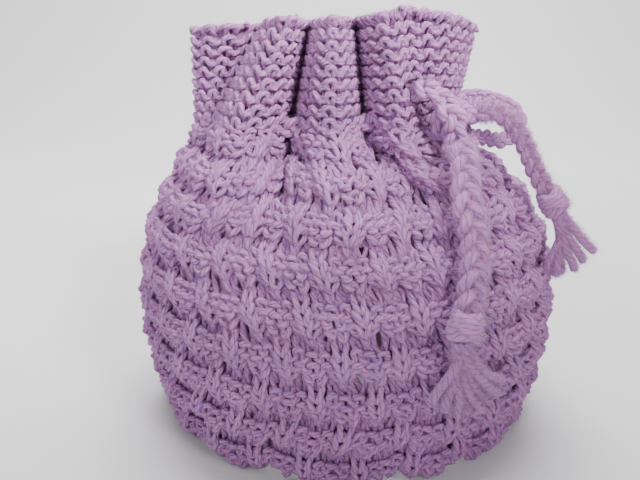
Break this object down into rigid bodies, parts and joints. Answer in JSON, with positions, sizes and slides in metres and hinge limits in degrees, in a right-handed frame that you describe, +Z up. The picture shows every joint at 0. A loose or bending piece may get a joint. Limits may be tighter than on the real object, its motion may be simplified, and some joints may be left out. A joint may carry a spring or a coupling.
{
  "type": "tea cosy",
  "caption": "Hand-knitted tea cosy: two lilac wool panels with a scalloped hem, basket-knit body, side slits for spout and handle, a gathered garter frill and a plaited drawstring tied in front",
  "frame": {"origin": "On the ground plane, under the middle of the two knitted panels' box, with the free tie ends left out", "axes": "+Z is up. The front is -Y, the spout slit is on -X and the handle slit on +X. Both side seams lie in the plane Y = 0"},
  "size_m": [0.1892, 0.1849, 0.17],
  "materials": {
    "knitted_wool": "knitted aran wool, soft and slightly fuzzy",
    "plaited_wool": "the same wool, plaited in three"
  },
  "bodies": {
    "root": {"front_panel": "knitted_wool", "back_panel": "knitted_wool", "drawstring": "plaited_wool", "tie_knot": "plaited_wool", "tie_front": "plaited_wool", "tie_right": "plaited_wool", "tie_loop": "plaited_wool", "end_knot_front": "plaited_wool", "end_knot_right": "plaited_wool", "tassel_front": "plaited_wool", "tassel_right": "plaited_wool"}
  },
  "joints": []
}
